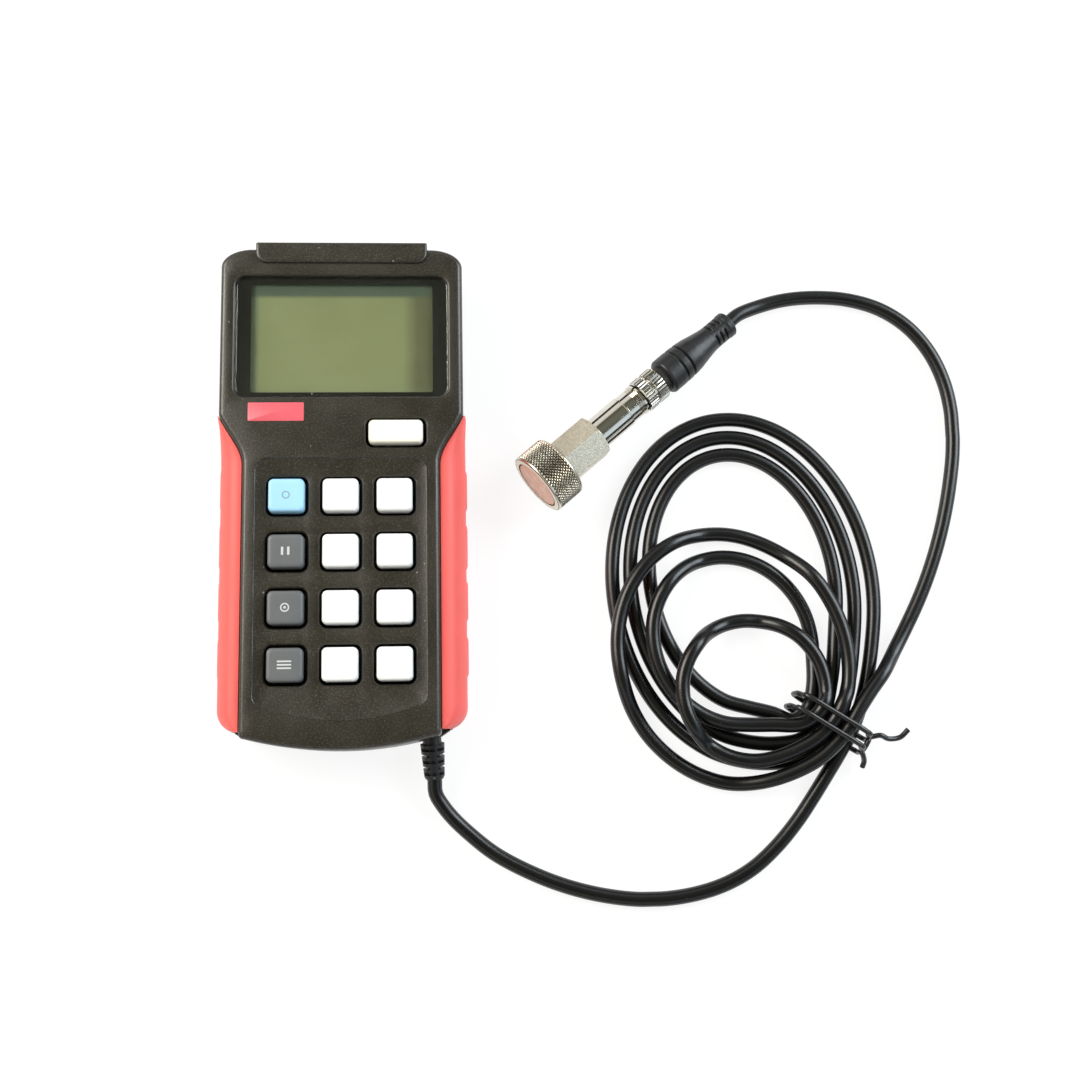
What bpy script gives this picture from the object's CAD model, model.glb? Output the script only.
import math
import bmesh
import bpy
import numpy as np
from mathutils import Matrix, Vector
from mathutils.geometry import delaunay_2d_cdt


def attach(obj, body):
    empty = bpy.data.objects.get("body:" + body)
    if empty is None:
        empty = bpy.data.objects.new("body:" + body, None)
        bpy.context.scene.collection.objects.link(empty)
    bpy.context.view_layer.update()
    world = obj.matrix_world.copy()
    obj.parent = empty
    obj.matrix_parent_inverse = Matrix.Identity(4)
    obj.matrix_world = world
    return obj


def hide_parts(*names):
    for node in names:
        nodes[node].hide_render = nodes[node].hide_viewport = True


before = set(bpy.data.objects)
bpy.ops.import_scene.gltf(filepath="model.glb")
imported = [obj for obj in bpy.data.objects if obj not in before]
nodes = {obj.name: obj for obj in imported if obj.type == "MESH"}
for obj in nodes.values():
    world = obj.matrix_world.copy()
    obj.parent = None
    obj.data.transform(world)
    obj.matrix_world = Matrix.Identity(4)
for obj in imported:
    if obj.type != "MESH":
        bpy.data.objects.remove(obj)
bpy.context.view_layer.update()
scene = bpy.context.scene
mm = 0.001
meterBody = "meter_set"
print("frame loaded", len(nodes), "nodes")

# Camera: place, turn and lens of the photograph, over the middle of the group and below it
cameraSet = {"place": (0.036, -0.087, 0.463), "pitch": 9.12, "yaw": -3.49, "roll": -1.06,
             "lens": 46.67, "sensor": 36.0, "clip": 0.01}


def makeCamera(facts):
    data = bpy.data.cameras.new("photoCamera")
    data.lens, data.sensor_width, data.clip_start = facts["lens"], facts["sensor"], facts["clip"]
    camera = bpy.data.objects.new("photoCamera", data)
    scene.collection.objects.link(camera)
    camera.matrix_world = (Matrix.Translation(facts["place"])
                           @ Matrix.Rotation(math.radians(facts["yaw"]), 4, "Y")
                           @ Matrix.Rotation(math.radians(facts["pitch"]), 4, "X")
                           @ Matrix.Rotation(math.radians(facts["roll"]), 4, "Z"))
    scene.camera = camera


makeCamera(cameraSet)
scene.view_settings.view_transform = "Standard"


# Shader tools: each adds nodes to a tree and gives back what can be linked on
def linear(hexColour):
    # Screen colour to linear colour
    c = np.array([int(hexColour[i:i + 2], 16) / 255 for i in (1, 3, 5)])
    c = np.where(c <= 0.04045, c / 12.92, ((c + 0.055) / 1.055) ** 2.4)
    return (*c.tolist(), 1.0)


def shade(colour, factor, lift=0.0):
    # Linear colour made darker or lighter
    return tuple(min(1, c * factor + lift) for c in colour[:3]) + (1,)


def feed(node, inputs):
    # Numbers or links on a node's inputs
    for key, value in inputs.items():
        socket = node.inputs[key]
        if isinstance(value, bpy.types.NodeSocket):
            node.id_data.links.new(value, socket)
        else:
            socket.default_value = value
    return node


def addNode(tree, kind, inputs=None, **settings):
    # One shader node: its settings first, then its inputs
    node = tree.nodes.new(kind)
    for key, value in settings.items():
        setattr(node, key, value)
    return feed(node, inputs or {})


def newGroup(name, inputs, outputs):
    tree = bpy.data.node_groups.new(name, "ShaderNodeTree")
    for label, kind, value in inputs:
        socket = tree.interface.new_socket(label, in_out="INPUT", socket_type=kind)
        if value is not None:
            socket.default_value = value
    for label in outputs:
        tree.interface.new_socket(label, in_out="OUTPUT", socket_type=valueSocket)
    return tree, tree.nodes.new("NodeGroupInput").outputs, tree.nodes.new("NodeGroupOutput")


def useGroup(tree, group, inputs):
    return addNode(tree, "ShaderNodeGroup", inputs, node_tree=group).outputs


def ramp(tree, factor, stops):
    # Stops of (place, grey or colour)
    node = addNode(tree, "ShaderNodeValToRGB", {"Fac": factor})
    while len(node.color_ramp.elements) < len(stops):
        node.color_ramp.elements.new(0.5)
    for element, (place, colour) in zip(node.color_ramp.elements, stops):
        element.position = place
        element.color = colour if hasattr(colour, "__len__") else (colour, colour, colour, 1)
    return node.outputs["Color"]


def spread(tree, value, low, high, toLow=0.0, toHigh=1.0):
    # Low to high becomes toLow to toHigh, held beyond its ends
    return addNode(tree, "ShaderNodeMapRange",
                   {"Value": value, "From Min": low, "From Max": high,
                    "To Min": toLow, "To Max": toHigh}).outputs["Result"]


def calc(tree, operation, a, b=0.0):
    return addNode(tree, "ShaderNodeMath", {0: a, 1: b}, operation=operation).outputs["Value"]


def times(tree, a, b):
    return calc(tree, "MULTIPLY", a, b)


def blendColour(tree, factor, a, b, **settings):
    return addNode(tree, "ShaderNodeMix", {0: factor, 6: a, 7: b}, data_type="RGBA",
                   **settings).outputs[2]


def blendShader(tree, factor, a, b):
    return addNode(tree, "ShaderNodeMixShader",
                   {0: factor, 1: a.outputs[0], 2: b.outputs[0]}).outputs[0]


def noise(tree, place, scale, detail=2.0, rough=0.5):
    return addNode(tree, "ShaderNodeTexNoise", {"Vector": place, "Scale": scale, "Detail": detail,
                                                "Roughness": rough}).outputs["Fac"]


def cells(tree, place, scale):
    # Distance from each cell's middle, and a number by chance for each cell
    found = addNode(tree, "ShaderNodeTexVoronoi", {"Vector": place, "Scale": scale}).outputs
    pick = addNode(tree, "ShaderNodeSeparateColor", {"Color": found["Color"]})
    return found["Distance"], pick.outputs[0]


def axesOf(tree, vector):
    return addNode(tree, "ShaderNodeSeparateXYZ", {0: vector}).outputs


valueSocket, vectorSocket = "NodeSocketFloat", "NodeSocketVector"


def makeMouldGrain():
    # Fine pits of a spark-eroded mould over a slow, cloudy change of tone
    tree, given, out = newGroup("mouldGrain", [("Vector", vectorSocket, None),
                                               ("Scale", valueSocket, 2500.0),
                                               ("Cloud", valueSocket, 60.0)],
                                ["Height", "Tone", "Glint"])
    place, scale = given["Vector"], given["Scale"]
    pits = addNode(tree, "ShaderNodeTexVoronoi", {"Vector": place, "Scale": scale},
                   feature="SMOOTH_F1").outputs["Distance"]
    fine = noise(tree, place, scale)
    cloud = noise(tree, place, given["Cloud"], 3.0, 0.6)
    feed(out, {"Height": calc(tree, "ADD", times(tree, pits, 0.7), times(tree, fine, 0.5)),
               "Tone": spread(tree, cloud, 0.3, 0.7), "Glint": spread(tree, fine, 0.52, 0.72)})
    return tree


def makeDustSpecks():
    # Sparse pale motes that lie only where the surface faces up
    tree, given, out = newGroup("dustSpecks", [("Vector", vectorSocket, None),
                                               ("Normal", vectorSocket, None),
                                               ("Scale", valueSocket, 420.0),
                                               ("Amount", valueSocket, 0.5)], ["Mask"])
    away, chance = cells(tree, given["Vector"], given["Scale"])
    dot = spread(tree, away, 0.05, 0.13, 1.0, 0.0)
    rare = spread(tree, chance, 0.93, 0.95)
    up = spread(tree, axesOf(tree, given["Normal"])["Z"], 0.5, 0.9)
    feed(out, {"Mask": times(tree, times(tree, dot, rare), times(tree, up, given["Amount"]))})
    return tree


def makeTurnedMarks():
    # Fine rings left by a lathe: noise by the distance along the pick-up's axis, and stains
    tree, given, out = newGroup("turnedMarks", [("Along", valueSocket, 0.0),
                                                ("Vector", vectorSocket, None),
                                                ("Fineness", valueSocket, 9000.0)],
                                ["Height", "Tone"])
    rings = addNode(tree, "ShaderNodeTexNoise", {"W": given["Along"], "Scale": given["Fineness"],
                                                 "Detail": 2.0}, noise_dimensions="1D")
    stain = noise(tree, given["Vector"], 260.0, 3.0)
    feed(out, {"Height": rings.outputs["Fac"], "Tone": spread(tree, stain, 0.35, 0.7)})
    return tree


mouldGrain, dustSpecks, turnedMarks = makeMouldGrain(), makeDustSpecks(), makeTurnedMarks()


def startMaterial(name):
    material = bpy.data.materials.new(name)
    material.use_nodes = True
    tree = material.node_tree
    place = tree.nodes.new("ShaderNodeTexCoord").outputs["Object"]
    return material, tree, tree.nodes["Principled BSDF"], place


def addBump(tree, shader, height, strength, distance):
    bump = addNode(tree, "ShaderNodeBump",
                   {"Height": height, "Strength": strength, "Distance": distance})
    feed(shader, {"Normal": bump.outputs["Normal"]})


def dusted(tree, place, tint, amount, pale, scale=420.0):
    # Colour with pale specks on it where it faces up
    normal = tree.nodes.new("ShaderNodeNewGeometry").outputs["Normal"]
    specks = useGroup(tree, dustSpecks, {"Vector": place, "Normal": normal, "Amount": amount,
                                         "Scale": scale})
    return blendColour(tree, specks["Mask"], tint, pale)


def mouldedPlastic(name, colour, rough=0.45, scale=2500.0, depth=0.00003, tone=0.12, dust=0.0,
                   coat=0.0, specular=0.5, subsurface=0.0, wear=0.06, glint=0.0):
    # Plastic or rubber from a mould: cloudy tone and pits, with glints or dust where asked
    material, tree, shader, place = startMaterial(name)
    grain = useGroup(tree, mouldGrain, {"Vector": place, "Scale": scale})
    base = linear(colour)
    tint = blendColour(tree, grain["Tone"], shade(base, 1 - tone), shade(base, 1 + tone, 0.001))
    if glint > 0:
        tint = blendColour(tree, times(tree, grain["Glint"], glint), tint, shade(base, 2.6, 0.03))
    if dust > 0:
        tint = dusted(tree, place, tint, dust, (0.6, 0.6, 0.57, 1))
    feed(shader, {"Base Color": tint,
                  "Roughness": spread(tree, grain["Tone"], 0.0, 1.0, rough - wear, rough + wear),
                  "Specular IOR Level": specular, "Coat Weight": coat, "Coat Roughness": 0.2})
    if subsurface > 0:
        feed(shader, {"Subsurface Weight": subsurface,
                      "Subsurface Radius": (0.002, 0.0012, 0.001)})
    addBump(tree, shader, grain["Height"], 0.6, depth)
    return material


# Frame of the pick-up: s runs along its axis, from the magnet face towards the lead
pickupFacts = {"face": (62.8, 3.8), "turn": 40.7, "magnetD": 22.0, "magnetL": 10.7, "hexL": 15.6,
               "barrelD": 11.0, "barrelL": 13.2, "socketD": 10.4, "socketL": 7.1, "nutD": 11.7,
               "nutL": 9.3, "neckGap": 2.0, "bootD": 12.9, "bootL": 30.8, "bootEndD": 9.2}
lengths = [pickupFacts[key] for key in ("magnetL", "hexL", "barrelL", "socketL", "nutL",
                                        "neckGap", "bootL")]
hexS, barrelS, socketS, nutS, neckS, bootS, bootEndS = np.cumsum(lengths).tolist()
magnetR, barrelR, socketR, nutR, bootR, bootEndR = [
    pickupFacts[key] / 2 for key in ("magnetD", "barrelD", "socketD", "nutD", "bootD", "bootEndD")]
tilt = math.atan((magnetR - bootEndR) / (bootEndS - hexS))
turn = math.radians(pickupFacts["turn"])
heading, upward = np.array([math.cos(turn), math.sin(turn), 0.0]), np.array([0.0, 0.0, 1.0])
pickupOrigin = np.array([*pickupFacts["face"], hexS * math.sin(tilt) + magnetR * math.cos(tilt)])
pickupAxis = math.cos(tilt) * heading - math.sin(tilt) * upward
pickupDown = -math.sin(tilt) * heading - math.cos(tilt) * upward
pickupSide = np.cross(upward, heading)


def fromPickup(tree, place, operation):
    # Place from the magnet face's middle, multiplied with the axis: dot is the distance along
    # it, and the length of cross is the distance from it
    shifted = addNode(tree, "ShaderNodeVectorMath", {0: place, 1: tuple(-pickupOrigin * mm)},
                      operation="ADD").outputs["Vector"]
    return addNode(tree, "ShaderNodeVectorMath", {0: shifted, 1: tuple(pickupAxis)},
                   operation=operation).outputs


def platedMetal(name, colour, rough=0.2, rings=0.0, blast=0.0, tone=0.08, fineness=9000.0,
                metallic=1.0, groove=None):
    # Plated metal: stains, and lathe rings, blasted grain or grimy cuts where asked
    material, tree, shader, place = startMaterial(name)
    along = fromPickup(tree, place, "DOT_PRODUCT")["Value"]
    marks = useGroup(tree, turnedMarks, {"Along": along, "Vector": place, "Fineness": fineness})
    base = linear(colour)
    tint = blendColour(tree, marks["Tone"], shade(base, 1 - tone), base)
    if blast > 0:
        # Each grain of the blasted face has its own brightness
        grain = cells(tree, place, 2600.0)[1]
        tint = blendColour(tree, spread(tree, grain, 0.0, 1.0, 0.0, 0.4), tint, shade(base, 0.3))
    if groove:
        # Grime and shade between the foot and the crest of the cuts, clean metal elsewhere
        foot, crest = groove
        crossed = fromPickup(tree, place, "CROSS_PRODUCT")["Vector"]
        reach = addNode(tree, "ShaderNodeVectorMath", {0: crossed},
                        operation="LENGTH").outputs["Value"]
        clean = calc(tree, "MAXIMUM", spread(tree, reach, foot * mm, crest * mm),
                     spread(tree, reach, (foot - 0.04) * mm, (foot - 0.1) * mm))
        tint = blendColour(tree, clean, (0.05, 0.042, 0.03, 1), tint)
    feed(shader, {"Base Color": tint, "Metallic": metallic,
                  "Roughness": spread(tree, marks["Tone"], 0.0, 1.0, rough * 1.3, rough * 0.8)})
    if blast > 0:
        addBump(tree, shader, grain, blast, 0.00005)
    elif rings > 0:
        addBump(tree, shader, marks["Height"], rings, 0.00003)
    return material


print("shader groups ready")


# Mesh tools: points are in millimetres, meshes in metres
def gridFaces(rows, cols, start, wrapCols, wrapRows):
    # Quads of a rows x cols grid of points
    r = np.arange(rows if wrapRows else rows - 1)[:, None]
    c = np.arange(cols if wrapCols else cols - 1)[None, :]
    r2, c2 = (r + 1) % rows, (c + 1) % cols
    quads = np.stack([r * cols + c, r * cols + c2, r2 * cols + c2, r2 * cols + c], -1)
    return (quads.reshape(-1, 4) + start).tolist()


class Shell:
    # Collects grids and flat fills into one mesh; a profile is a list of (inset, height)
    def __init__(self):
        self.points, self.faces, self.count = [], [], 0

    def grid(self, points, caps=False, wrapCols=True, wrapRows=False):
        rows, cols = points.shape[:2]
        start = self.count
        self.points.append(points.reshape(-1, 3))
        self.faces += gridFaces(rows, cols, start, wrapCols, wrapRows)
        if caps:
            self.faces.append(list(range(start + cols - 1, start - 1, -1)))
            self.faces.append(list(range(start + (rows - 1) * cols, start + rows * cols)))
        self.count += rows * cols
        return self

    def slab(self, loopAt, profile):
        # Profile carried round a loop, closed at both ends
        return self.grid(sweepLoops(loopAt, profile), caps=True)

    def hoop(self, outer, inner, low, high):
        # Flat frame between two loops
        return self.grid(np.array([lift(outer, low), lift(outer, high), lift(inner, high),
                                   lift(inner, low)]), wrapRows=True)

    def flat(self, outer, holes, z):
        # Flat face between an outer loop and the loops of its holes, split into triangles
        loops = [outer, *holes]
        points = np.vstack(loops)[:, :2]
        edges, start = [], 0
        for loop in loops:
            n = len(loop)
            edges += [(start + i, start + (i + 1) % n) for i in range(n)]
            start += n
        out = delaunay_2d_cdt([Vector(p) for p in points.tolist()], edges, [], 1, 1e-5)
        found = np.array([list(v) for v in out[0]])
        faces = np.array([list(face) for face in out[2]])
        middle = found[faces].mean(1)
        # A triangle stays if a line from its middle crosses the loops an odd number of times
        crossings = np.zeros(len(faces), int)
        for loop in loops:
            a, b = loop[None, :, :2], np.roll(loop, -1, 0)[None, :, :2]
            spans = (a[..., 1] > middle[:, None, 1]) != (b[..., 1] > middle[:, None, 1])
            rise = np.where(spans, b[..., 1] - a[..., 1], 1.0)
            crossX = a[..., 0] + (middle[:, None, 1] - a[..., 1]) / rise * (b[..., 0] - a[..., 0])
            crossings += (spans & (crossX > middle[:, None, 0])).sum(1)
        self.points.append(np.c_[found, np.full(len(found), z)])
        self.faces += (faces[crossings % 2 == 1] + self.count).tolist()
        self.count += len(found)

    def build(self, name, smooth=True, sharp=32.0, weld=1e-6):
        mesh = bpy.data.meshes.new(name)
        mesh.from_pydata((np.vstack(self.points) * mm).tolist(), [], self.faces)
        return finishMesh(name, mesh, smooth, sharp, weld)


def finishMesh(name, mesh, smooth, sharp, weld):
    shape = bmesh.new()
    shape.from_mesh(mesh)
    bmesh.ops.remove_doubles(shape, verts=shape.verts, dist=weld)
    bmesh.ops.recalc_face_normals(shape, faces=shape.faces)
    shape.to_mesh(mesh)
    shape.free()
    mesh.polygons.foreach_set("use_smooth", [smooth] * len(mesh.polygons))
    if smooth:
        mesh.set_sharp_from_angle(angle=math.radians(sharp))
    piece = bpy.data.objects.new(name, mesh)
    scene.collection.objects.link(piece)
    return piece


def dress(piece, material, body=meterBody, stands=()):
    # Finish, body and slot of a new piece, and the CAD nodes it stands for
    piece.data.materials.clear()
    piece.data.materials.append(material)
    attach(piece, body)
    for name in stands:
        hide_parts(name)
    return piece


def smoothCopy(node, name, material, body=meterBody, sharp=30.0, bevel=0.0):
    # A merged copy of a CAD node, so that its round faces shade smoothly and edges catch light
    source = nodes[node].data
    coords = np.empty(len(source.vertices) * 3)
    source.vertices.foreach_get("co", coords)
    mesh = bpy.data.meshes.new(name)
    faces = [list(face.vertices) for face in source.polygons]
    mesh.from_pydata(coords.reshape(-1, 3).tolist(), [], faces)
    piece = finishMesh(name, mesh, True, sharp, 2e-6)
    if bevel > 0:
        edge = piece.modifiers.new("edge", "BEVEL")
        edge.width, edge.segments, edge.limit_method = bevel * mm, 2, "ANGLE"
        edge.angle_limit = math.radians(35)
        edge.harden_normals = True
    return dress(piece, material, body, [node])


def roundRect(w, l, r, x=0.0, y=0.0, arc=8):
    # Rectangle with quarter circles of radius r, counterclockwise from the right foot corner
    a = np.radians(np.linspace(-90, 0, arc + 1))
    parts = []
    for k, (sx, sy) in enumerate([(1, -1), (1, 1), (-1, 1), (-1, -1)]):
        b = a + k * math.pi / 2
        parts.append(np.c_[x + sx * (w / 2 - r) + r * np.cos(b),
                           y + sy * (l / 2 - r) + r * np.sin(b)])
    return np.vstack(parts)


def lift(loop, z):
    # Flat loop at a height
    return np.c_[loop, np.full(len(loop), float(z))]


def sweepLoops(loopAt, profile):
    # Profile carried round a loop: at every (inset, height) the loop is drawn in by the inset
    return np.array([lift(loopAt(d), z) for d, z in profile])


def onPickup(s, radius, angle):
    # Origin + s * axis + radius * (cosine of the angle * down + sine of the angle * side)
    s, radius, angle = np.broadcast_arrays(s, radius, angle)
    return (pickupOrigin + s[..., None] * pickupAxis
            + (radius * np.cos(angle))[..., None] * pickupDown
            + (radius * np.sin(angle))[..., None] * pickupSide)


def turnedPiece(name, profile, sides=96, radiusAt=None, sharp=35.0):
    # Profile of (along, radius) turned round the pick-up's axis; radiusAt cuts knurls and slots
    s, r = np.array(profile, float).T
    angle = np.linspace(0, 2 * math.pi, sides, endpoint=False)
    along, angle = np.meshgrid(s, angle, indexing="ij")
    radius = np.repeat(r[:, None], sides, 1)
    if radiusAt:
        radius = radiusAt(along, angle, radius)
    return Shell().grid(onPickup(along, radius, angle), caps=True).build(name, sharp=sharp)


def curveThrough(points, step):
    # Centripetal curve: each stretch is a cubic whose end tangents look at its neighbours
    p = np.asarray(points, float)
    p = np.vstack([2 * p[0] - p[1], p, 2 * p[-1] - p[-2]])
    gap = np.linalg.norm(np.diff(p, axis=0), axis=1) ** 0.5
    out = []
    for i in range(1, len(p) - 2):
        a, b, c = gap[i - 1], gap[i], gap[i + 1]
        m1 = b * ((p[i] - p[i - 1]) / a - (p[i + 1] - p[i - 1]) / (a + b) + (p[i + 1] - p[i]) / b)
        m2 = b * ((p[i + 1] - p[i]) / b - (p[i + 2] - p[i]) / (b + c) + (p[i + 2] - p[i + 1]) / c)
        n = max(1, round(np.linalg.norm(p[i + 1] - p[i]) / step))
        t = (np.arange(n) / n)[:, None]
        out.append((2 * t ** 3 - 3 * t ** 2 + 1) * p[i] + (t ** 3 - 2 * t ** 2 + t) * m1
                   + (3 * t ** 2 - 2 * t ** 3) * p[i + 1] + (t ** 3 - t ** 2) * m2)
    return np.vstack([*out, p[-2:-1]])


def tubeAlong(path, radius, sides):
    # Path + radius * (cosine * level side + sine * the third direction), square to the path
    t = np.gradient(path, axis=0)
    t /= np.linalg.norm(t, axis=1)[:, None]
    s = np.cross(t, upward)
    s /= np.linalg.norm(s, axis=1)[:, None]
    u = np.cross(s, t)
    a = ((np.arange(sides) + 0.5) * 2 * math.pi / sides)[None, :, None]
    return path[:, None] + radius * (np.cos(a) * s[:, None] + np.sin(a) * u[:, None])


# Lead: its route is the part's own, in millimetres
leadSet = {"diameter": 4.8, "gap": 0.6, "tieD": 1.8, "clear": 0.15, "tie": (158.0, -75.0),
           "bundleTurn": 57.0, "ringsPerLoop": 24, "ease": 0.12, "step": 1.6, "sides": 24,
           "offFloor": 0.02, "farX": 206.86, "nearY": -130.36}
leadD = leadSet["diameter"]
cordR = leadD / 2
pitch = leadD + leadSet["gap"]
tieLift = leadSet["tieD"] + leadSet["clear"]
tieAt = np.array(leadSet["tie"])
bundleTurn = math.radians(leadSet["bundleTurn"])
bundle = np.array([math.cos(bundleTurn), math.sin(bundleTurn)])
across = np.array([bundle[1], -bundle[0]])
# Slots of the tie: places across it and layer, in pitches
tieSlots = [(1.5, 0), (0.5, 0), (-0.5, 0), (-1.5, 0), (-1, 1), (0, 1), (1, 1)]
# Six loops: middle, half width, half height, lean of the width and of the height
coilLoops = [(132, -29.7, 44, 57.8, -46, -50), (131.7, -29.6, 37.7, 51.4, -45, -50),
             (131.8, -27, 31.4, 42.8, -44, -50), (127.2, -47.4, 27, 28, -38, -42),
             (132.5, -64, 24, 23, -40, -40), (126.5, -53, 38, 41.5, -46, -51)]
# Layers along each loop: share of the turn, layer
coilLayers = [[(0, 0), (1, 0)], [(0, 0), (1, 0)], [(0, 0), (1, 0)],
              [(0, 0), (0.4, 0), (0.5, 1.1), (1, 1)],
              [(0, 1), (0.05, 1.2), (0.26, 1.2), (0.34, 0.3), (0.42, 0.4), (0.52, 2.1), (0.68, 2.1),
               (0.76, 1.1), (0.95, 1.1), (1, 1)],
              [(0, 1), (0.05, 1.3), (0.24, 1.3), (0.32, 0), (0.4, 0), (0.48, 1.1), (0.66, 1.1),
               (0.74, 0), (0.86, 0), (0.95, 1), (1, 1)]]
glandFacts = {"place": (27.9, -78.8, 8.2), "tilt": 11.3, "turn": 3.4, "length": 12.2}


def onFloor(*places):
    return [(x, y, cordR) for x, y in places]


# From the meter's gland to the tie, and from the tie to the boot
meterRoute = [(31.2, -99.5, 3.9), (34.4, -103.5, 2.8),
              *onFloor((39.5, -108.4), (47.5, -114.8), (58, -120.6), (70, -125.5), (83, -128.9),
                       (96, -130.4), (109, -129.6), (121, -126.6), (131, -121.6), (139.4, -114.6),
                       (146.6, -106.6), (152.2, -99)), (156.2, -93, 2.9)]
bootRoute = [(171.8, -64.4, 9.3), (176.2, -59, 8.4), (181.4, -51.8, 4.2),
             *onFloor((187.4, -42), (193.2, -30.6), (197.8, -19.4), (201.6, -7.6), (204.5, 4.4),
                      (206.5, 16.6), (206.9, 28.8), (205, 41), (200.4, 52), (193.2, 61),
                      (184, 67.2), (173, 70.6), (161.5, 71.5), (150.5, 70.6)), (141.5, 68.2, 2.7)]


def slotPlace(i):
    return tieAt + across * tieSlots[i][0] * pitch


def inSlot(i, diameters=0):
    # Middle of a slot under the tie, or so many lead diameters along the bundle from it
    height = cordR + tieLift + pitch * tieSlots[i][1]
    return np.array([*(slotPlace(i) + diameters * leadD * bundle), height])


def loopPath(k, t):
    # Ellipse with leaning waves, eased at both ends into its places under the tie
    cx, cy, hw, hh, px, py = coilLoops[k]
    px, py, w, reach = math.radians(px), math.radians(py), 2 * math.pi * t, leadSet["ease"]
    ease = lambda q: np.where(q < reach, np.cos(np.pi / 2 * np.minimum(q / reach, 1)) ** 2, 0)
    a, b = ease(t), ease(1 - t)
    v = np.array([-hw * math.sin(px), hh * math.cos(py)])
    start = np.array([cx + hw * math.cos(px), cy + hh * math.sin(py)])
    plan = np.stack([cx + hw * np.cos(w + px), cy + hh * np.sin(w + py)], -1)
    plan += ((a + b) * np.sin(w))[:, None] * (bundle * np.linalg.norm(v) - v)
    plan += a[:, None] * (slotPlace(k) - start) + b[:, None] * (slotPlace(k + 1) - start)
    along, layer = np.array(coilLayers[k], float).T
    i = np.clip(np.searchsorted(along, t, side="right") - 1, 0, len(along) - 2)
    f = (t - along[i]) / (along[i + 1] - along[i])
    height = layer[i] + (layer[i + 1] - layer[i]) * (1 - np.cos(np.pi * f)) / 2
    return np.c_[plan, cordR + pitch * height + tieLift * (a + b)]


def glandPoint(s):
    # Point on the gland's axis, out from the foot end by s: turned by b and tipped down by a
    a, b = math.radians(glandFacts["tilt"]), math.radians(glandFacts["turn"])
    out = [math.sin(b) * math.cos(a), -math.cos(b) * math.cos(a), -math.sin(a)]
    return np.array(glandFacts["place"]) + s * np.array(out)


def leadPath():
    n, last, length = leadSet["ringsPerLoop"], len(coilLoops) - 1, glandFacts["length"]
    coil = [loopPath(k, np.arange(n + (k == last)) / n) for k in range(last + 1)]
    line = curveThrough(np.vstack([
        glandPoint(length), glandPoint(length + leadD), meterRoute, inSlot(0, -2), inSlot(0, -1),
        *coil, inSlot(6, 1), inSlot(6, 2), bootRoute, onPickup(bootEndS + leadD, 0.0, 0.0),
        onPickup(bootEndS, 0.0, 0.0)]), leadSet["step"])
    # The lead rests on the floor, and stays within the part's own reach
    line[:, 2] = np.maximum(line[:, 2], cordR + leadSet["offFloor"])
    line[:, 0] = np.minimum(line[:, 0], leadSet["farX"])
    line[:, 1] = np.maximum(line[:, 1], leadSet["nearY"])
    return line


leadLine = leadPath()


def makeJacket():
    # Smooth black jacket: faint long waves of the extrusion under a soft gloss
    material, tree, shader, place = startMaterial("leadJacket")
    cloud = noise(tree, place, 90.0, 3.0)
    tint = blendColour(tree, cloud, linear("#040404"), linear("#0b0b0b"))
    feed(shader, {"Base Color": dusted(tree, place, tint, 0.35, (0.4, 0.4, 0.38, 1), 900.0),
                  "Roughness": spread(tree, cloud, 0.3, 0.7, 0.27, 0.33)})
    addBump(tree, shader, noise(tree, place, 1500.0), 0.05, 0.00001)
    return material


def makeTube(name, path, radius, sides):
    # Circle carried along a path and closed at both ends
    return Shell().grid(tubeAlong(path, radius, sides), caps=True).build(name, sharp=80)


signalLead = dress(makeTube("signalLead", leadLine, cordR, leadSet["sides"]), makeJacket(),
                   stands=["cable_lead_meter", "cable_coil", "cable_lead_sensor"])

# Twist tie: two wraps round the bundle, a start and a curling tail, as (out, along, height)
tieSet = {"wrapGap": 2.4, "room": 1.2, "sides": 10, "steps": 20, "step": 0.5, "drift": 0.4,
          "offset": 0.02, "upperAt": 0.3, "upperIn": 0.3, "holdAcross": 1.25, "holdUp": 1.35,
          "start": [(3.2, -6.4, 3.6), (2.4, -4.6, 5)],
          "tail": [(2.2, 5, 8), (5.2, 5.6, 7), (8.4, 8.2, 6.4), (9.4, 11.8, 6.8)]}


def tiePath():
    # A wrap goes across by a cosine and up by a sine, both held at their ends so that it hugs
    # the strands, is narrower over the upper ones, and drifts along the bundle as it turns
    t, gap, r = tieSet, tieSet["wrapGap"], leadSet["tieD"] / 2
    hx = 2 * pitch + leadSet["tieD"] + t["room"]
    top = tieLift + cordR + pitch + cordR + r + t["room"] / 2
    at = lambda n, s, z: np.array([*(tieAt + across * n + bundle * s), z])
    beside = lambda points: [at(hx + n, s, z) for n, s, z in points]

    def wrap(s):
        turned = np.arange(t["steps"] + 1) / t["steps"]
        a = -2 * math.pi * turned
        half = hx - pitch * np.where(np.sin(a) > t["upperAt"], t["upperIn"], 0)
        n = half * np.clip(t["holdAcross"] * np.cos(a), -1, 1) - hx * t["offset"]
        z = r + (top - r) * (1 + np.clip(t["holdUp"] * np.sin(a), -1, 1)) / 2
        return [at(*q) for q in zip(n, s + gap * t["drift"] * (turned - 0.5), z)]
    points = [*beside(t["start"]), *wrap(-gap), *wrap(gap), *beside(t["tail"])]
    line = curveThrough(points, t["step"])
    line[:, 2] = np.maximum(line[:, 2], r + leadSet["offFloor"])
    return line


tiePlastic = mouldedPlastic("tiePlastic", "#111112", rough=0.32, scale=900, tone=0.2, coat=0.3)
dress(makeTube("twistTie", tiePath(), leadSet["tieD"] / 2, tieSet["sides"]), tiePlastic,
      stands=["cable_tie"])
print("lead and tie ready")

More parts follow.
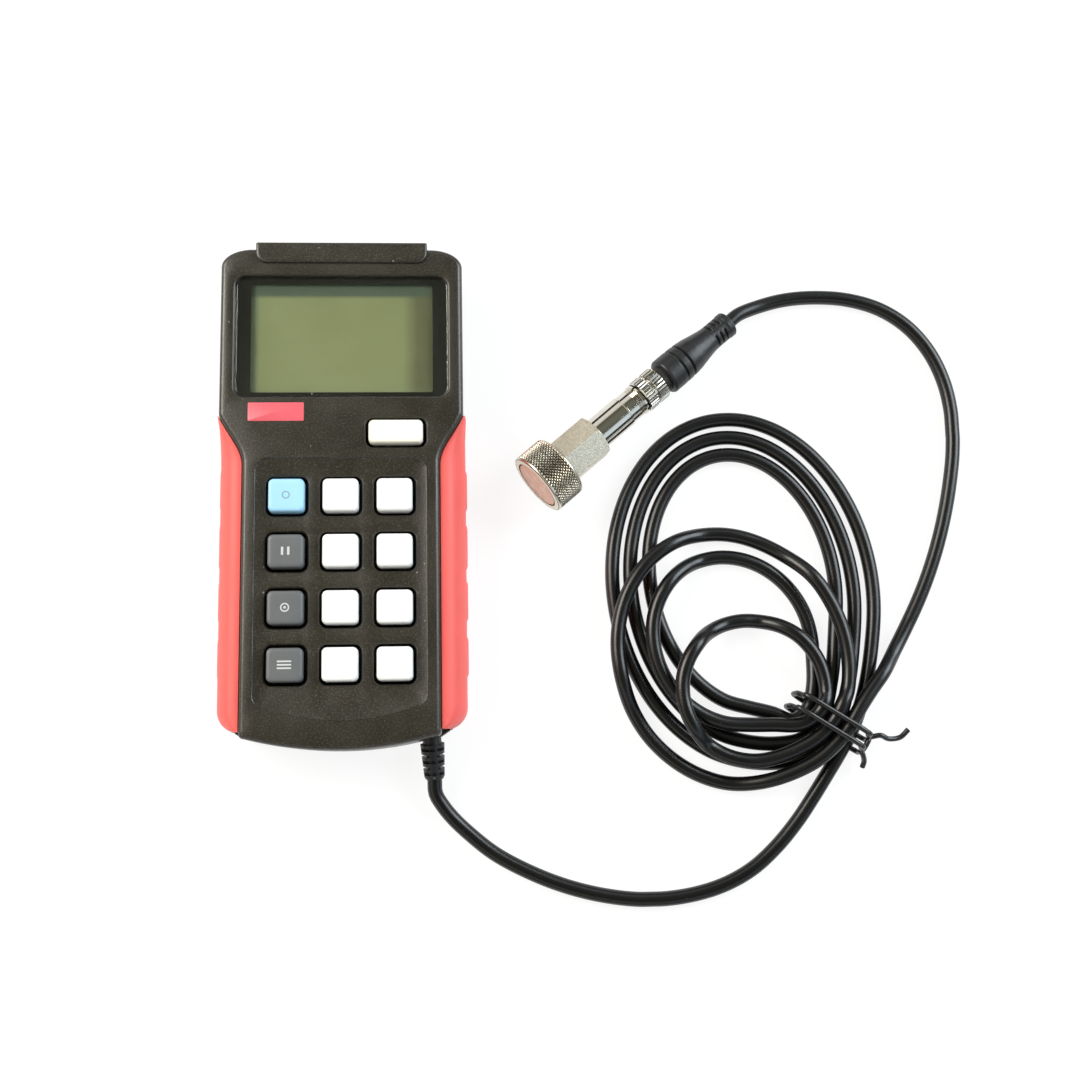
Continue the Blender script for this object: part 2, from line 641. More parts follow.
# Front case: skirt, face, wells and window seat are one closed skin
caseSet = {"headW": 77.6, "bodyW": 62.4, "headY": 79.6, "footY": 77.2, "footDrop": 4.4,
           "waistHiY": 24.3, "waistLoY": 8.3, "splitZ": 14.5, "faceZ": 27.0, "wall": 2.0,
           "cornerX": 10.0, "cornerY": 6.0, "footR": 1.5, "fieldW": 54.4, "fieldTopY": 10.2,
           "fieldFootY": 67.0, "fieldDrop": 5.6, "fieldR": 4.0, "fieldSunk": 0.4,
           "windowY": 50.1, "windowW": 68.0, "windowL": 40.2, "windowR": 3.6, "ledgeW": 60.4,
           "ledgeL": 37.6, "ledgeR": 1.0, "maskZ": 24.1, "ledgeFootZ": 22.7, "coreW": 72.0,
           "gripW": 79.6}
keySet = {"w": 11.2, "l": 10.6, "dx": 16.9, "dy": 17.7, "y": -2.2, "r": 1.6, "leastR": 0.15,
          "tighten": 0.35, "gap": 1.0, "wellR": 2.4, "wideW": 17.2, "wideL": 7.6,
          "wideAt": (17.3, 18.2)}
keyPlaces = [((i % 3 - 1) * keySet["dx"], keySet["y"] - i // 3 * keySet["dy"]) for i in range(12)]


def waistEase(s):
    # Share of the way from the narrow to the wide part: s * s * (2.2 - 1.2 * s)
    return s * s * (2.2 - 1.2 * s)


def frontLoop(d):
    # Half outline drawn in by d, then mirrored: the foot is a parabola, the waist goes from
    # body to head width by waistEase, and the corners are quarters of a circle and an ellipse
    c = caseSet
    hx, hb, hp = c["headW"] / 2 - d, c["bodyW"] / 2 - d, c["bodyW"] / 2
    yt, yhi, ylo, yf = c["headY"] - d, c["waistHiY"] + d / 2, c["waistLoY"] + d / 2, c["footY"] - d
    cx, cy, rf, drop = c["cornerX"] - d / 2, c["cornerY"] - d / 2, c["footR"], c["footDrop"]
    footAt = lambda x: -yf - drop * (1 - (x / hp) ** 2)
    x, s = np.linspace(0, hb - rf, 28), np.linspace(0, 1, 25)
    a = np.radians(np.linspace(-90, 0, 9)[1:])
    b = np.radians(np.linspace(0, 90, 22))
    half = np.vstack([np.c_[x, footAt(x)],
                      np.c_[hb - rf + rf * np.cos(a), footAt(hb - rf) + rf * (1 + np.sin(a))],
                      np.c_[hb + (hx - hb) * waistEase(s), ylo + (yhi - ylo) * s],
                      np.c_[hx - cx + cx * np.cos(b), yt - cy + cy * np.sin(b)], [[0, yt]]])
    return np.vstack([half, half[-2:0:-1] * [-1, 1]])


def fieldLoop(d):
    # Outline of the sunk keypad field drawn in by d: the foot is a parabola and the top is
    # straight, each between two quarter circles
    c = caseSet
    w, r, top = c["fieldW"] / 2 - d, c["fieldR"] - d, c["fieldTopY"] - d
    m = w - r
    footAt = lambda x: -c["fieldFootY"] + d - c["fieldDrop"] * (1 - (x / (c["fieldW"] / 2)) ** 2)
    x = np.linspace(-m, m, 41)
    q, t = np.radians(np.linspace(-90, 0, 9)[1:]), np.radians(np.linspace(0, 90, 9))
    half = np.vstack([np.c_[m + r * np.cos(q), footAt(m) + r + r * np.sin(q)],
                      np.c_[m + r * np.cos(t), top - r + r * np.sin(t)]])
    return np.vstack([np.c_[x, footAt(x)], half, half[::-1] * [-1, 1]])


def makeFrontCase():
    # Profiles of (inset, height) carried round the outlines, with flat faces between them
    c, k, shell = caseSet, keySet, Shell()
    wall, zf, under = c["wall"], c["faceZ"], c["faceZ"] - c["wall"]
    field = zf - c["fieldSunk"]
    skirt = [(0, c["splitZ"]), (0, 24.2), (0.04, 24.9), (0.14, 25.5), (0.32, 26.05), (0.62, 26.5),
             (1.05, 26.84), (1.6, zf)]
    seat = [(0.7, zf), (0.42, 26.93), (0.2, 26.78), (0.06, 26.5), (0, 26.2), (0, c["maskZ"])]
    step = [(0, zf), (0.06, 26.93), (0.22, 26.68), (0.4, field)]
    rim = [(0.6, 0), (0.34, 0.06), (0.14, 0.2), (0.03, 0.42), (0, 0.7)]  # inset and drop of a well
    shell.grid(sweepLoops(frontLoop, skirt))
    shell.grid(sweepLoops(frontLoop, [skirt[0], (wall, c["splitZ"]), (wall, under)]))
    windowAt = lambda d: roundRect(c["windowW"] + 2 * d, c["windowL"] + 2 * d, c["windowR"] + d,
                                   0, c["windowY"], 10)
    ledge = roundRect(c["ledgeW"], c["ledgeL"], c["ledgeR"], 0, c["windowY"], 10)
    shell.grid(np.array([*sweepLoops(windowAt, seat), lift(ledge, c["maskZ"]),
                         lift(ledge, c["ledgeFootZ"]),
                         *sweepLoops(windowAt, [(wall, c["ledgeFootZ"]), (wall, under)])]))
    shell.grid(sweepLoops(fieldLoop, step))

    def well(w, l, x, y, z):
        at = lambda d: roundRect(w + 2 * k["gap"] + 2 * d, l + 2 * k["gap"] + 2 * d,
                                 k["wellR"] + d, x, y)
        shell.grid(sweepLoops(at, [(d, z - drop) for d, drop in rim] + [(0, under)]))
        return at
    wells = [well(k["w"], k["l"], x, y, field) for x, y in keyPlaces]
    wide, out = well(k["wideW"], k["wideL"], *k["wideAt"], zf), rim[0][0]
    shell.flat(frontLoop(skirt[-1][0]), [windowAt(seat[0][0]), fieldLoop(0), wide(out)], zf)
    shell.flat(fieldLoop(step[-1][0]), [at(out) for at in wells], field)
    shell.flat(frontLoop(wall), [windowAt(wall), wide(0)] + [at(0) for at in wells], under)
    return shell.build("frontShell", sharp=42, weld=3e-6)


casePlastic = mouldedPlastic("casePlastic", "#221e13", rough=0.37, scale=2000, depth=0.00005,
                             tone=0.2, glint=0.9, dust=0.5, specular=0.7)
dress(makeFrontCase(), casePlastic, stands=["front_case"])
smoothCopy("rear_case", "rearShell", casePlastic, sharp=28)
smoothCopy("battery_door", "cellDoor", casePlastic, body="battery_door_body", sharp=28)

# Raised band over the display end, with a lip that hangs down behind
bandSet = {"w": 55.0, "fromY": 74.4, "toY": 81.25, "windowR": 3.4, "endR": 0.5,
           "rim": [(0, 27.02), (0, 27.2), (0.08, 27.5), (0.26, 27.72), (0.55, 27.85),
                   (0.9, 27.9), (1.3, 27.9)],
           "lipL": 1.5, "lipR": 0.72, "lipY": 80.5,
           "lip": [(0.3, 16.4), (0.05, 16.7), (0, 17.0), (0, 27.2)]}


def makeEndCap():
    # Profiles carried round two loops: the band's has quarter circles, big ones towards the
    # window and small ones at the end, and the lip's is a thin round rectangle
    b = bandSet
    a = np.radians(np.linspace(0, 90, 13))

    def bandAt(d):
        x, low, high = b["w"] / 2 - d, b["fromY"] + d, b["toY"] - d
        big, small = b["windowR"] - 0.8 * d, b["endR"]
        right = np.vstack([np.c_[x - big + big * np.sin(a), low + big - big * np.cos(a)],
                           np.c_[x - small + small * np.cos(a), high - small + small * np.sin(a)]])
        return np.vstack([right, right[::-1] * [-1, 1]])
    lipAt = lambda d: roundRect(b["w"] - 2 * d, b["lipL"] - 2 * d, b["lipR"] - d, 0, b["lipY"], 6)
    return Shell().slab(bandAt, b["rim"]).slab(lipAt, b["lip"]).build("endBand", sharp=45)


dress(makeEndCap(), casePlastic, stands=["end_cap"])
portRubber = mouldedPlastic("portRubber", "#1c1c1b", rough=0.55, scale=1500, tone=0.15)
smoothCopy("port_cover", "portFlap", portRubber, body="port_cover_body",
           sharp=30)
print("case ready")

# Side grips: section as (share outward, share upward), and four pads from one y to another
gripSet = {"topZ": 25.2, "footZ": 2.6, "shelfZ": 18.15, "endR": 7.0, "footY": 75.4, "clear": 0.15,
           "leastWall": 0.35, "padRise": 0.45, "padSoft": 0.22, "coreR": 8.0, "coreEase": 2.4,
           "wingX": 28.0, "rows": 190, "endRows": 22, "fineness": 0.06,
           "padU": (0.75, 0.95), "padV": (0.66, 0.54), "coverV": 0.6,
           "section": [(0, 1), (0.22, 0.99), (0.45, 0.95), (0.68, 0.85), (0.88, 0.69),
                       (1, 0.48), (0.99, 0.26), (0.9, 0.09), (0.72, 0)],
           "pads": [(7.9, -4.2), (-10, -23.5), (-28.3, -40.4), (-46.4, -58.3)]}


def share(value, start, end):
    # How far a value is from start to end, held between 0 and 1
    return np.clip((value - start) / (end - start), 0, 1)


def makeGrip(side, name):
    # At each y the section's point (u, v) lies at x = inner + (outer - inner) * u and
    # z = foot + (top - foot) * v; the inner side follows the waist and the rear case's core,
    # the outer side ends in a circle, and between the pads the outside is sunk by padRise
    c, g = caseSet, gripSet
    straightY = g["endR"] - g["footY"]
    y = np.concatenate([np.linspace(c["waistHiY"] - g["clear"], straightY, g["rows"]), straightY
                        - g["endR"] * np.sin(np.radians(np.linspace(4, 82, g["endRows"])))])
    roundOff = lambda q, r: r * (1 - np.sqrt(1 - q * q))
    softStep = lambda q: 1 / (1 + np.exp(-q / g["padSoft"]))
    s = share(y, c["waistLoY"], c["waistHiY"])
    xi = c["bodyW"] / 2 + (c["headW"] - c["bodyW"]) / 2 * waistEase(s) + g["clear"]
    footAt = -c["footY"] - c["footDrop"] * (1 - (g["wingX"] / (c["bodyW"] / 2)) ** 2)
    q = share(y, c["waistHiY"] - g["coreEase"], c["waistHiY"])
    t = share(y, footAt + g["coreR"], footAt)
    core = (c["coreW"] / 2 + (c["headW"] - c["coreW"]) / 2 * waistEase(q)
            - roundOff(t, g["coreR"]))
    xc = np.maximum(xi, core + g["clear"])
    e = share(y, straightY, straightY - g["endR"])
    xo = np.maximum(c["gripW"] / 2 - roundOff(e, g["endR"]), xc + g["leastWall"])
    u, v = curveThrough(g["section"], g["fineness"]).T
    pad = sum(softStep(hi - y) * softStep(y - lo) for hi, lo in g["pads"])
    reach = share(u, *g["padU"]) * share(v, *g["padV"])
    x = xi[:, None] + (xo - xi)[:, None] * u
    x = np.where(v < g["coverV"], np.maximum(x, xc[:, None] + g["clear"]), x)
    x += (pad[:, None] - 1) * reach * g["padRise"]
    z = g["footZ"] + (g["topZ"] - g["footZ"]) * v + 0 * x
    outer = np.stack([x, np.repeat(y[:, None], len(u), 1), z], -1)
    edge = lambda outward, height: lift(np.c_[outward, y], height)[:, None]
    rings = np.concatenate([outer, edge(xc, g["footZ"]), edge(xc, g["shelfZ"]),
                            edge(xi, g["shelfZ"])], 1) * [side, 1, 1]
    return Shell().grid(rings, caps=True).build(name, sharp=50)


gripRubber = mouldedPlastic("gripRubber", "#f4635c", rough=0.52, scale=1700, depth=0.00005,
                            tone=0.05, dust=0.25, subsurface=0.12)
dress(makeGrip(1, "gripRight"), gripRubber, stands=["grip_right"])
dress(makeGrip(-1, "gripLeft"), gripRubber, stands=["grip_left"])
print("grips ready")

# Keys: pillowed caps with round shoulders and a middle that is a little dished
capProfile = [(0, 23.5), (0, 27.9), (0.03, 28.3), (0.12, 28.65), (0.3, 28.95),
              (0.58, 29.16), (1.0, 29.25), (1.6, 29.27), (2.6, 29.26)]


def makeKey(name, w, l, x, y):
    # Profile of the cap carried round its outline, whose corners tighten as it is drawn in
    k = keySet
    at = lambda d: roundRect(w - 2 * d, l - 2 * d, max(k["leastR"], k["r"] - k["tighten"] * d),
                             x, y, 7)
    top = [(min(d, l / 2 - 0.3), z) for d, z in capProfile]
    return Shell().slab(at, top).build(name, sharp=48)


keySkin = {"scale": 1800, "depth": 0.00002, "subsurface": 0.1}
keyWhite = mouldedPlastic("keyWhite", "#f4f4f2", rough=0.38, tone=0.02, **keySkin)
keyBlue = mouldedPlastic("keyBlue", "#a6d8f8", rough=0.4, tone=0.03, **keySkin)
keyCream = mouldedPlastic("keyCream", "#fbf6e6", rough=0.36, tone=0.02, **keySkin)
keyGrey = mouldedPlastic("keyGrey", "#656768", rough=0.42, scale=1800, tone=0.05)
for i, (x, y) in enumerate(keyPlaces):
    look, slotName = (keyGrey, "key_grey") if i % 3 == 0 else (keyWhite, "key_white")
    if i == 0:
        look, slotName = keyBlue, "key_blue"
    dress(makeKey("cap%d" % (i + 1), keySet["w"], keySet["l"], x, y), look,
          body="key_%d_body" % (i + 1), stands=["key_%d" % (i + 1)])
dress(makeKey("capWide", keySet["wideW"], keySet["wideL"], *keySet["wideAt"]), keyCream,
      body="wide_key_body", stands=["wide_key"])

# Plain marks on the left keys: a ring, two bars, a dot in a ring and three bars
markProfile = [(0, 29.1), (0, 29.3)]
markInk = mouldedPlastic("markInk", "#c9cbca", rough=0.5, scale=1500, tone=0.05)
slateInk = mouldedPlastic("slateInk", "#8ba2b0", rough=0.5, scale=1500, tone=0.05)


def barMark(name, key, bars):
    # Bars of (width, length, x, y) from the middle of the key
    kx, ky = keyPlaces[key - 1]
    shell = Shell()
    for w, l, x, y in bars:
        shell.slab(lambda d: roundRect(w, l, min(w, l) * 0.3, kx + x, ky + y, 4), markProfile)
    return dress(shell.build(name, sharp=30), markInk, body="key_%d_body" % key)


def ringMark(name, key, outer, inner, dot=0.0, ink=markInk):
    # Ring between two circles, with a dot in it if it has a radius
    a = np.linspace(0, 2 * math.pi, 40, endpoint=False)
    circle = lambda r: np.array(keyPlaces[key - 1]) + r * np.c_[np.cos(a), np.sin(a)]
    shell = Shell().hoop(circle(outer), circle(inner), markProfile[0][1], markProfile[1][1])
    if dot > 0:
        shell.slab(lambda d: circle(dot - d), markProfile)
    return dress(shell.build(name, sharp=30), ink, body="key_%d_body" % key)


ringMark("markBlue", 1, 1.25, 0.85, ink=slateInk)
barMark("markPause", 4, [(0.75, 2.6, -0.95, 0), (0.75, 2.6, 0.95, 0)])
ringMark("markRead", 7, 1.4, 1.0, 0.4)
barMark("markList", 10, [(4.4, 0.5, 0, y) for y in (1.05, 0, -1.05)])

# Plain red plate between window and keys
plateSet = {"w": 17.6, "l": 6.0, "r": 0.3, "at": (-20.6, 25.1),
            "profile": [(0, 26.9), (0, 27.05), (0.06, 27.08)]}


def makePlate():
    # Profile carried round a rectangle
    b = plateSet
    at = lambda d: roundRect(b["w"] - 2 * d, b["l"] - 2 * d, b["r"], *b["at"], 4)
    return Shell().slab(at, b["profile"]).build("redPlate", sharp=30)


dress(makePlate(), mouldedPlastic("plateInk", "#e2616b", rough=0.4, scale=1600, tone=0.05))
print("keys ready")

# Display: clear window over a black border and an olive panel
windowSet = {"w": 67.8, "l": 40.0, "r": 3.5,
             "profile": [(0, 24.4), (0, 25.5), (0.05, 25.75), (0.18, 25.95), (0.4, 26.06),
                         (0.7, 26.1)],
             "borderW": 67.6, "borderL": 39.8, "borderR": 3.4, "viewW": 58.2, "viewL": 36.2,
             "viewR": 0.9, "borderZ": (24.13, 24.28)}


def windowLoop(w, l, r):
    return roundRect(w, l, r, 0, caseSet["windowY"], 10)


def makeWindowPane():
    # Clear slab whose rolled rim is a profile carried round the window, a hair above the border
    b = windowSet
    at = lambda d: windowLoop(b["w"] - 2 * d, b["l"] - 2 * d, b["r"] - d)
    return Shell().slab(at, b["profile"]).build("windowPane", sharp=48)


def makeBorder():
    # Flat frame of black print between the outer edge and the view
    b = windowSet
    return Shell().hoop(windowLoop(b["borderW"], b["borderL"], b["borderR"]),
                        windowLoop(b["viewW"], b["viewL"], b["viewR"]),
                        *b["borderZ"]).build("blackBorder", sharp=30)


def makeWindowGlass():
    # Faintly smeared clear plastic that lets the lamps' light through to the panel
    material, tree, shader, place = startMaterial("windowGlass")
    smear = noise(tree, place, 70.0, 4.0)
    tint = blendColour(tree, smear, (0.86, 0.9, 0.86, 1), (0.95, 0.97, 0.94, 1))
    feed(shader, {"Base Color": tint, "Roughness": spread(tree, smear, 0.4, 0.7, 0.0, 0.05),
                  "Transmission Weight": 1.0, "IOR": 1.46})
    light = tree.nodes.new("ShaderNodeLightPath").outputs
    clear = addNode(tree, "ShaderNodeBsdfTransparent", {"Color": (0.9, 0.93, 0.9, 1)})
    feed(tree.nodes["Material Output"],
         {"Surface": blendShader(tree, light["Is Shadow Ray"], shader, clear)})
    return material


def makeDisplayOlive():
    # Olive panel, darker towards the edges where the border shades it: each edge as axis,
    # start and end in metres, strength and colour
    material, tree, shader, place = startMaterial("displayOlive")
    axes = axesOf(tree, place)
    cloud, fine = noise(tree, place, 45.0, 3.0), noise(tree, place, 2600.0, 1.0)
    tint = blendColour(tree, cloud, linear("#60633f"), linear("#6a6c47"))
    for axis, start, end, part, colour in (("X", 0.0195, 0.0240, 0.85, "#3a361e"),
                                           ("X", -0.0264, -0.0278, 0.75, "#46523f"),
                                           ("Y", 0.0345, 0.0318, 0.4, "#59624a"),
                                           ("Y", 0.0636, 0.0648, 1.0, "#2a372f")):
        edge = spread(tree, axes[axis], start, end)
        tint = blendColour(tree, times(tree, edge, part), tint, linear(colour))
    tint = blendColour(tree, times(tree, fine, 0.14), tint, linear("#99a07c"))
    feed(shader, {"Base Color": tint, "Roughness": spread(tree, cloud, 0.3, 0.7, 0.3, 0.42),
                  "Coat Weight": 0.3, "Coat Roughness": 0.12})
    return material


def repaint(node, material):
    # Finish for a CAD node whose shape stays
    piece = nodes[node]
    if not piece.material_slots:
        piece.data.materials.append(material)
    for slot in piece.material_slots:
        slot.material = material


borderBlack = mouldedPlastic("borderBlack", "#080908", rough=0.2, scale=700, depth=0.000004,
                             tone=0.2, dust=0.4)
dress(makeWindowPane(), makeWindowGlass(), stands=["display_window"])
dress(makeBorder(), borderBlack, stands=["display_mask"])
repaint("lcd_panel", makeDisplayOlive())
print("display ready")

# Pick-up: magnet base with a diamond knurl, ring in the slot of its face, and hexagon
knurlSet = {"pitch": 1.28, "depth": 0.5, "from": 0.9, "to": 9.8, "around": 54, "fade": 0.25,
            "flank": 1.15, "rows": 90, "sides": 540}
ringSet = {"inR": 8.3, "outR": 8.75, "back": 3.0, "sunk": 0.62, "bridge": 0.5, "bridgeHalf": 3.2,
           "soft": 0.4, "sides": 360}


def zigzag(q):
    # Distance to the nearest whole number, doubled: 0 to 1 and back once in each unit
    return np.abs(((q + 0.5) % 1) - 0.5) * 2


def diamondKnurl(along, angle, radius):
    # Pyramids where two sets of helical grooves cross; height is the nearer groove's distance
    k = knurlSet
    u, v = angle / (2 * math.pi) * k["around"], along / k["pitch"]
    height = np.minimum(zigzag(u + v), zigzag(u - v))
    fade = (share(along, k["from"], k["from"] + k["fade"])
            * share(along, k["to"], k["to"] - k["fade"]))
    return radius - fade * k["depth"] * (1 - np.minimum(height * k["flank"], 1))


def makeMagnetHousing():
    # Profile turned round the axis, with the knurl cut between rim and tail
    r, end, k = magnetR, hexS, knurlSet
    rim = [(4.0, 8.8), (0.0, 8.8), (0.0, 8.95), (0.0, 10.45), (0.12, 10.72), (0.4, 10.97), (0.7, r)]
    body = [(s, r) for s in np.linspace(k["from"], k["to"], k["rows"])]
    tail = [(10.0, r), (10.3, r - 0.12), (10.6, r - 0.5), (end, r - 0.9), (end, 2.6),
            (end - 2.0, 2.6)]
    return turnedPiece("magnetBase", rim + body + tail, k["sides"], diamondKnurl, sharp=44)


def makeFaceRing():
    # Four corners turned round the axis; the front is sunk, less so by soft steps at four places
    g = ringSet
    angle = np.linspace(0, 2 * math.pi, g["sides"], endpoint=False)
    away = np.abs(np.degrees(angle) % 90 - 45)
    front = g["sunk"] - g["bridge"] / (1 + np.exp((away - g["bridgeHalf"]) / g["soft"]))
    corners = [(g["back"], g["outR"]), (front, g["outR"]), (front, g["inR"]), (g["back"], g["inR"])]
    rings = np.array([onPickup(s, r, angle) for s, r in corners])
    return Shell().grid(rings, wrapRows=True).build("faceRing", sharp=40)


satinNickel = platedMetal("satinNickel", "#e8e0cc", rough=0.36, blast=0.5, tone=0.1)
knurlNickel = platedMetal("knurlNickel", "#d8d1c0", rough=0.24, tone=0.1, groove=(10.52, 10.88))
brightNickel = platedMetal("brightNickel", "#dedad0", rough=0.09, rings=0.15, tone=0.06)
nutNickel = platedMetal("nutNickel", "#e2ded4", rough=0.16, tone=0.08, groove=(5.35, 5.65))
facePink = platedMetal("facePink", "#cfae98", rough=0.4, rings=0.3, tone=0.12, metallic=0.35)
slotResin = mouldedPlastic("slotResin", "#6a2419", rough=0.35, scale=900, tone=0.25)
faceProfile = [(3.0, 8.26), (0.12, 8.26), (0.06, 8.2), (0.06, 0.5)]
dress(makeMagnetHousing(), knurlNickel, stands=["magnet_housing"])
dress(makeFaceRing(), slotResin, stands=["magnet_spacer"])
dress(turnedPiece("magnetFace", faceProfile, sharp=30), facePink,
      stands=["magnet_disc"])
smoothCopy("sensor_hex", "hexBody", satinNickel, sharp=20, bevel=0.3)

# Barrel with a fine groove, and socket with a thread and a collar, as (along, radius)
threadSet = {"length": 3.4, "pitch": 0.42, "turns": 5, "rootR": 4.86}
barrelProfile = [(barrelS, 4.6), (barrelS, 5.3), (barrelS + 0.25, barrelR),
                 (socketS - 0.9, barrelR), (socketS - 0.8, 5.42), (socketS - 0.65, 5.42),
                 (socketS - 0.55, barrelR), (socketS - 0.2, barrelR), (socketS, socketR),
                 (socketS, 4.6)]
dress(turnedPiece("barrelTube", barrelProfile), brightNickel,
      stands=["sensor_barrel"])
threadS = nutS - threadSet["length"]
socketProfile = [(socketS, 4.4), (socketS, socketR), (threadS - 0.1, socketR)]
for i in range(threadSet["turns"]):
    s = threadS + i * threadSet["pitch"]
    socketProfile += [(s, socketR), (s + 0.16, threadSet["rootR"]), (s + 0.3, socketR)]
socketProfile += [(nutS - 1.25, socketR), (nutS - 1.15, 5.55), (nutS - 0.4, 5.6),
                  (nutS - 0.2, 5.4), (nutS, socketR), (nutS, 3.2)]
dress(turnedPiece("socketTube", socketProfile), brightNickel,
      stands=["sensor_socket"])

# Lock nut: two toothed bands on either side of a groove, as (from the nut's start, radius)
nutL = neckS - nutS
nutSet = {"teeth": 30, "depth": 0.42, "steep": 1.6, "root": 0.45, "sides": 240,
          "profile": [(0.15, 4.0), (0.15, 5.3), (0.65, 5.8), (0.72, nutR), (3.9, nutR),
                      (4.0, 5.75), (4.15, 5.3), (4.2, 5.05), (4.95, 5.05), (5.0, 5.3),
                      (5.15, 5.75), (5.25, nutR), (nutL - 0.6, nutR), (nutL - 0.5, 5.8),
                      (nutL, 5.35), (nutL, 4.0)],
          "bands": [(0.7, 3.95), (5.2, nutL - 0.55)]}


def straightKnurl(along, angle, radius):
    # Teeth along the axis: a zigzag round it, held at its ends, cut into both bands
    k = nutSet
    wave = zigzag(angle / (2 * math.pi) * k["teeth"] + 0.5)
    inBand = sum((along > nutS + low) & (along < nutS + high) for low, high in k["bands"])
    return radius - inBand * k["depth"] * np.clip(wave * k["steep"] - k["root"], 0, 1)


nutProfile = [(nutS + s, r) for s, r in nutSet["profile"]]
dress(turnedPiece("lockNut", nutProfile, nutSet["sides"], straightKnurl, sharp=30), nutNickel,
      body="plug_nut_body", stands=["plug_nut"])

# Boot: slender profile with two grooves round it and flex slots near the lead
bootSet = {"profile": [(62.8, bootR), (63.6, 6.42), (66.0, 6.38), (69.0, 6.2), (71.5, 5.9),
                       (74.5, 5.3), (77.5, 4.75), (79.5, 4.48), (81.0, 4.4), (85.6, 4.4),
                       (86.2, 4.45), (86.7, bootEndR)],
           "grooves": (64.1, 67.2), "grooveHalf": 0.38, "grooveDepth": 0.75,
           "slots": (80.7, 82.7, 84.7), "slotHalf": 0.36, "slotDepth": 0.85,
           "web": 0.62, "webSoft": 0.04, "step": 0.16}


def dips(s, places, half):
    # One smooth dip at each place: exp of minus the fourth power of the distance over half
    return sum(np.exp(-((s - place) / half) ** 4) for place in places)


def bootSlots(along, angle, radius):
    # Flex slots on four sides, kept apart by webs where a zigzag round the axis is high
    b = bootSet
    web = zigzag(angle / (math.pi / 2) + 0.5)
    cut = 1 / (1 + np.exp((web - b["web"]) / b["webSoft"]))
    return radius - b["slotDepth"] * dips(along, b["slots"], b["slotHalf"]) * cut


def makeBoot():
    # Profile between its points by straight lines, less the grooves, turned round the axis
    b = bootSet
    key = np.array([(bootS, 5.6), (bootS + 0.25, 6.1), (bootS + 0.8, bootR), *b["profile"],
                    (bootEndS - 0.4, bootEndR), (bootEndS - 0.08, 4.4), (bootEndS, 4.0)])
    s = np.unique(np.concatenate([key[:, 0], np.arange(bootS + 1, bootEndS - 0.5, b["step"])]))
    r = (np.interp(s, key[:, 0], key[:, 1])
         - b["grooveDepth"] * dips(s, b["grooves"], b["grooveHalf"]))
    outline = [(bootS, 2.5), *zip(s, r), (bootEndS, 2.4)]
    return turnedPiece("plugBoot", outline, radiusAt=bootSlots, sharp=50)


bootRubber = mouldedPlastic("bootRubber", "#17181a", rough=0.38, scale=1100, depth=0.00005,
                            tone=0.3, dust=0.5)
dress(makeBoot(), bootRubber, stands=["plug_boot"])
smoothCopy("plug_core", "plugCore", portRubber, sharp=30)
smoothCopy("strain_relief", "leadRelief", bootRubber, sharp=35)
print("pick-up ready")

# Finishes of the inner pieces, whose shapes stay as in the part
innerLooks = {
    "lcd_holder": mouldedPlastic("holderWhite", "#d8d6cc", rough=0.5, tone=0.05),
    "key_mat": mouldedPlastic("matSilicone", "#1d1d1c", rough=0.6, scale=1200, tone=0.06),
    "main_board": mouldedPlastic("boardGreen", "#1d6b3a", rough=0.3, scale=500, tone=0.25,
                                 coat=0.5),
    "board_chips": mouldedPlastic("chipBlack", "#222224", rough=0.45, scale=1800, tone=0.15),
    "battery_cells": mouldedPlastic("cellSleeve", "#a9402c", rough=0.3, scale=400, coat=0.4),
    "socket_insert": mouldedPlastic("insertBlack", "#2c2c2c", rough=0.4),
    "crystal_stack": mouldedPlastic("firedCeramic", "#d6c9a8", rough=0.5, scale=1500, tone=0.1),
    "seismic_mass": platedMetal("darkAlloy", "#77777a", rough=0.4, tone=0.2, rings=0.3),
}
steelPlate = platedMetal("steelPlate", "#c6c6c4", rough=0.3, tone=0.14, rings=0.2, fineness=3000)
for name in ("board_screws", "case_screws", "battery_contacts", "contact_strips", "usb_socket",
             "base_stud", "preload_bolt"):
    innerLooks[name] = steelPlate
for name, look in innerLooks.items():
    repaint(name, look)
print("inner pieces ready")

# Floor, world and lamps
floorSet = {"edge": 3000.0, "z": -0.02, "rough": 0.9, "glow": 1.08, "glowShare": 0.8}
worldSet = {"strength": 0.72, "backdrop": 0.97}
lampSet = {"warmSoftbox": {"place": (-0.85, 0.4, 0.85), "target": (0.05, 0, 0), "size": 0.7,
                           "power": 14.5, "colour": (1.0, 0.96, 0.9)},
           "coolWindow": {"place": (0.78, 0.3, 0.5), "target": (0.06, 0, 0), "size": 0.6,
                          "power": 7.5, "colour": (0.88, 0.95, 1.0)}}


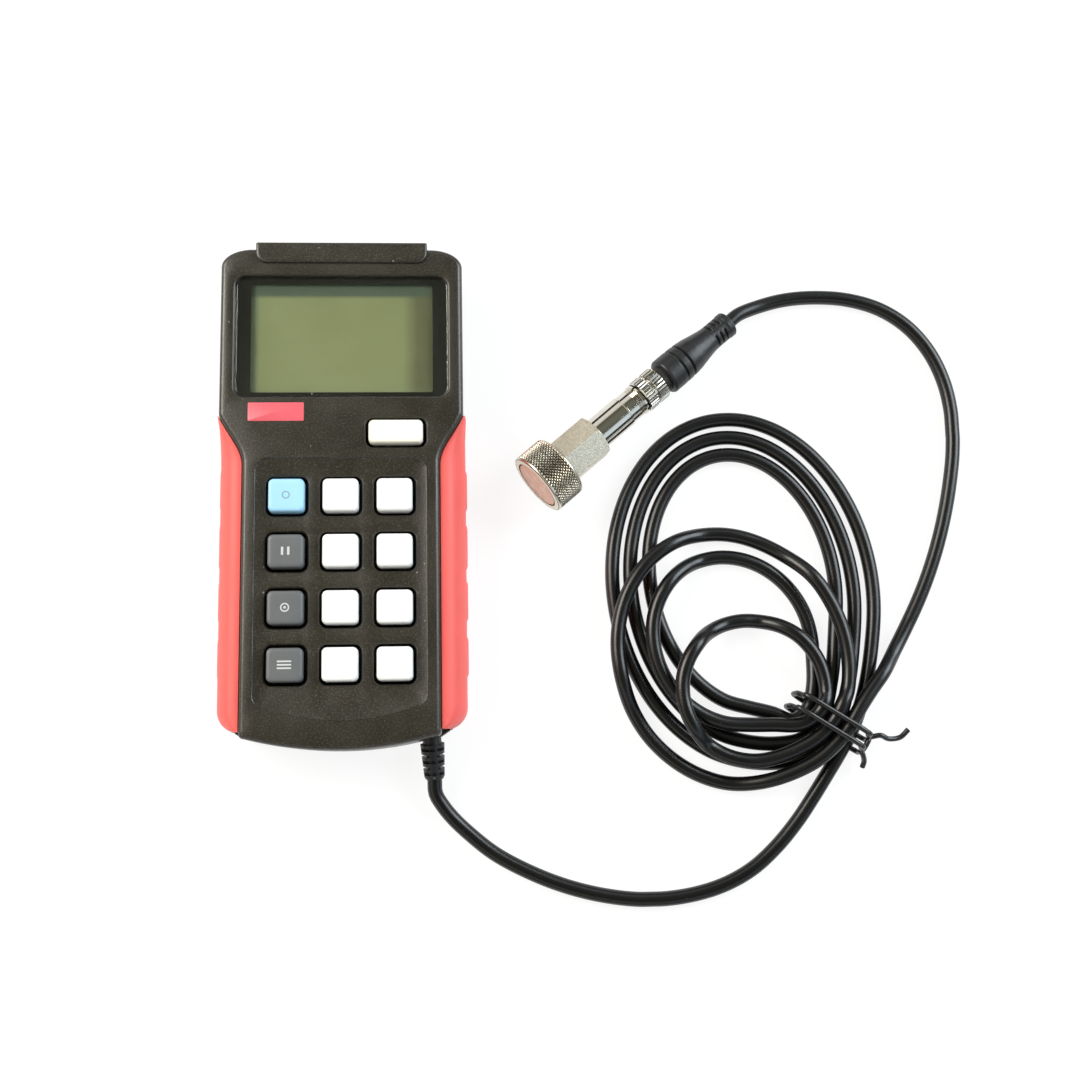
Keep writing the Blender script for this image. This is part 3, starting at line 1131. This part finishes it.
def makeFloor():
    # Flat square; what looks at it sees it glow, so that it is near white as in the photograph
    e, z = floorSet["edge"], floorSet["z"]
    square = np.array([[[-e, -e, z], [e, -e, z]], [[-e, e, z], [e, e, z]]])
    floor = Shell().grid(square, wrapCols=False).build("paleFloor", smooth=False)
    material, tree, shader, place = startMaterial("paleFloor")
    tint = blendColour(tree, noise(tree, place, 3.0), (0.86, 0.86, 0.86, 1), (0.9, 0.9, 0.9, 1))
    feed(shader, {"Base Color": tint, "Roughness": floorSet["rough"]})
    light = tree.nodes.new("ShaderNodeLightPath").outputs
    seen = calc(tree, "MAXIMUM", light["Is Camera Ray"], light["Is Glossy Ray"])
    seen = calc(tree, "MAXIMUM", seen, light["Is Transmission Ray"])
    glow = addNode(tree, "ShaderNodeEmission", {"Color": (1, 1, 1, 1),
                                                "Strength": floorSet["glow"]})
    feed(tree.nodes["Material Output"],
         {"Surface": blendShader(tree, times(tree, seen, floorSet["glowShare"]), shader, glow)})
    floor.data.materials.append(material)


def makeWorld():
    # Bright ceiling over a dim room, warmer to the left and cooler to the right
    world = bpy.data.worlds.new("studio")
    world.use_nodes = True
    scene.world = world
    tree = world.node_tree
    axes = axesOf(tree, tree.nodes.new("ShaderNodeTexCoord").outputs["Generated"])
    ring = ramp(tree, spread(tree, axes["Z"], -1.0, 1.0),
                [(0.0, 0.7), (0.5, 0.1), (0.6, 0.03), (0.64, 0.05), (0.68, 1.25), (0.84, 1.1),
                 (0.88, (0.13, 0.125, 0.08, 1)), (0.94, (0.22, 0.21, 0.16, 1)),
                 (1.0, (0.3, 0.29, 0.24, 1))])
    side = ramp(tree, spread(tree, axes["X"], -1.0, 1.0),
                [(0.0, (1.5, 1.38, 1.18, 1)), (0.5, 1), (1.0, (0.92, 1.1, 1.28, 1))])
    lit = feed(tree.nodes["Background"],
               {"Color": blendColour(tree, 1.0, ring, side, blend_type="MULTIPLY"),
                "Strength": worldSet["strength"]})
    pale = addNode(tree, "ShaderNodeBackground", {"Color": (1, 1, 1, 1),
                                                  "Strength": worldSet["backdrop"]})
    direct = tree.nodes.new("ShaderNodeLightPath").outputs["Is Camera Ray"]
    feed(tree.nodes["World Output"], {"Surface": blendShader(tree, direct, lit, pale)})


def makeLamp(name, place, target, size, power, colour):
    data = bpy.data.lights.new(name, "AREA")
    data.size, data.energy, data.color = size, power, colour
    lamp = bpy.data.objects.new(name, data)
    scene.collection.objects.link(lamp)
    lamp.location = place
    lamp.rotation_euler = (Vector(target) - Vector(place)).to_track_quat("-Z", "Y").to_euler()


makeFloor()
makeWorld()
for name, facts in lampSet.items():
    makeLamp(name, **facts)
print("stage ready")
